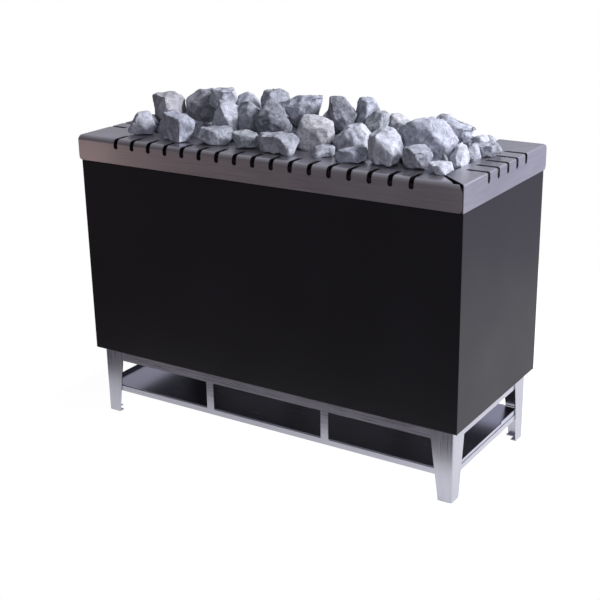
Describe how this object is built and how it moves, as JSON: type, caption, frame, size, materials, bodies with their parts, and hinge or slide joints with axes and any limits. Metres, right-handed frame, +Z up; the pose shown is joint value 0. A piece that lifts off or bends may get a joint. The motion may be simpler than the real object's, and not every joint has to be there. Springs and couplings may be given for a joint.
{
  "type": "sauna heater",
  "caption": "Floor-standing electric sauna heater: dark panelled casing on a low stand, slotted steel rim and a heaped load of crushed stones.",
  "frame": {"origin": "on the floor under the middle of the heater", "axes": "+X to the right along the heater's width, -Y to the front, +Z up"},
  "size_m": [1.04, 0.445, 0.8541],
  "materials": {
    "rim_steel": "brushed stainless sheet",
    "casing_paint": "fine satin black powder coat",
    "inner_steel": "mill-finish stainless sheet",
    "element_steel": "heat-darkened stainless tube",
    "stand_steel": "fine brushed stainless sheet",
    "shelf_steel": "smooth bright stainless sheet",
    "fastener_steel": "zinc-plated",
    "terminal_ceramic": "glazed steatite",
    "gland_plastic": "moulded nylon",
    "crushed_stone": "rough broken dark-grey to pale rock"
  },
  "bodies": {
    "heater": {"base_pan": "casing_paint", "cable_gland": "gland_plastic", "casing_back": "casing_paint", "casing_front": "casing_paint", "casing_left": "casing_paint", "casing_right": "casing_paint", "casing_screws": "fastener_steel", "earth_stud": "fastener_steel", "element_carrier": "inner_steel", "element_nuts": "fastener_steel", "heat_shield_back": "inner_steel", "heat_shield_front": "inner_steel", "heating_element_1": "element_steel", "heating_element_2": "element_steel", "heating_element_3": "element_steel", "heating_element_4": "element_steel", "heating_element_5": "element_steel", "heating_element_6": "element_steel", "heating_element_7": "element_steel", "heating_element_8": "element_steel", "heating_element_9": "element_steel", "leg_back_left": "stand_steel", "leg_back_right": "stand_steel", "leg_front_left": "stand_steel", "leg_front_right": "stand_steel", "liner_back": "inner_steel", "liner_front": "inner_steel", "liner_left": "inner_steel", "liner_right": "inner_steel", "rail_lower_left": "stand_steel", "rail_lower_right": "stand_steel", "rail_upper_left": "stand_steel", "rail_upper_right": "stand_steel", "rim_back": "rim_steel", "rim_front": "rim_steel", "rim_left": "rim_steel", "rim_right": "rim_steel", "shelf_front": "shelf_steel", "shelf_rear": "shelf_steel", "stand_sheet_back": "stand_steel", "stand_sheet_front": "stand_steel", "stone_grate": "inner_steel", "stones_back": "crushed_stone", "stones_core": "crushed_stone", "stones_filling": "crushed_stone", "stones_front_left": "crushed_stone", "stones_front_middle": "crushed_stone", "stones_front_right": "crushed_stone", "stones_second_left": "crushed_stone", "stones_second_right": "crushed_stone", "stones_shoulder": "crushed_stone", "stones_third": "crushed_stone", "terminal_block": "terminal_ceramic", "terminal_screws": "fastener_steel", "wiring_channel": "inner_steel"},
    "crown_stone_1": {"crown_stone_1": "crushed_stone"},
    "crown_stone_2": {"crown_stone_2": "crushed_stone"},
    "crown_stone_3": {"crown_stone_3": "crushed_stone"},
    "crown_stone_4": {"crown_stone_4": "crushed_stone"},
    "crown_stone_5": {"crown_stone_5": "crushed_stone"}
  },
  "joints": [
    {"name": "lift_crown_stone_1", "type": "slide", "parent": "heater", "child": "crown_stone_1", "axis": [0, 0, 1], "range_m": [0, 0.15]},
    {"name": "lift_crown_stone_2", "type": "slide", "parent": "heater", "child": "crown_stone_2", "axis": [0, 0, 1], "range_m": [0, 0.15]},
    {"name": "lift_crown_stone_3", "type": "slide", "parent": "heater", "child": "crown_stone_3", "axis": [0, 0, 1], "range_m": [0, 0.15]},
    {"name": "lift_crown_stone_4", "type": "slide", "parent": "heater", "child": "crown_stone_4", "axis": [0, 0, 1], "range_m": [0, 0.15]},
    {"name": "lift_crown_stone_5", "type": "slide", "parent": "heater", "child": "crown_stone_5", "axis": [0, 0, 1], "range_m": [0, 0.15]}
  ]
}
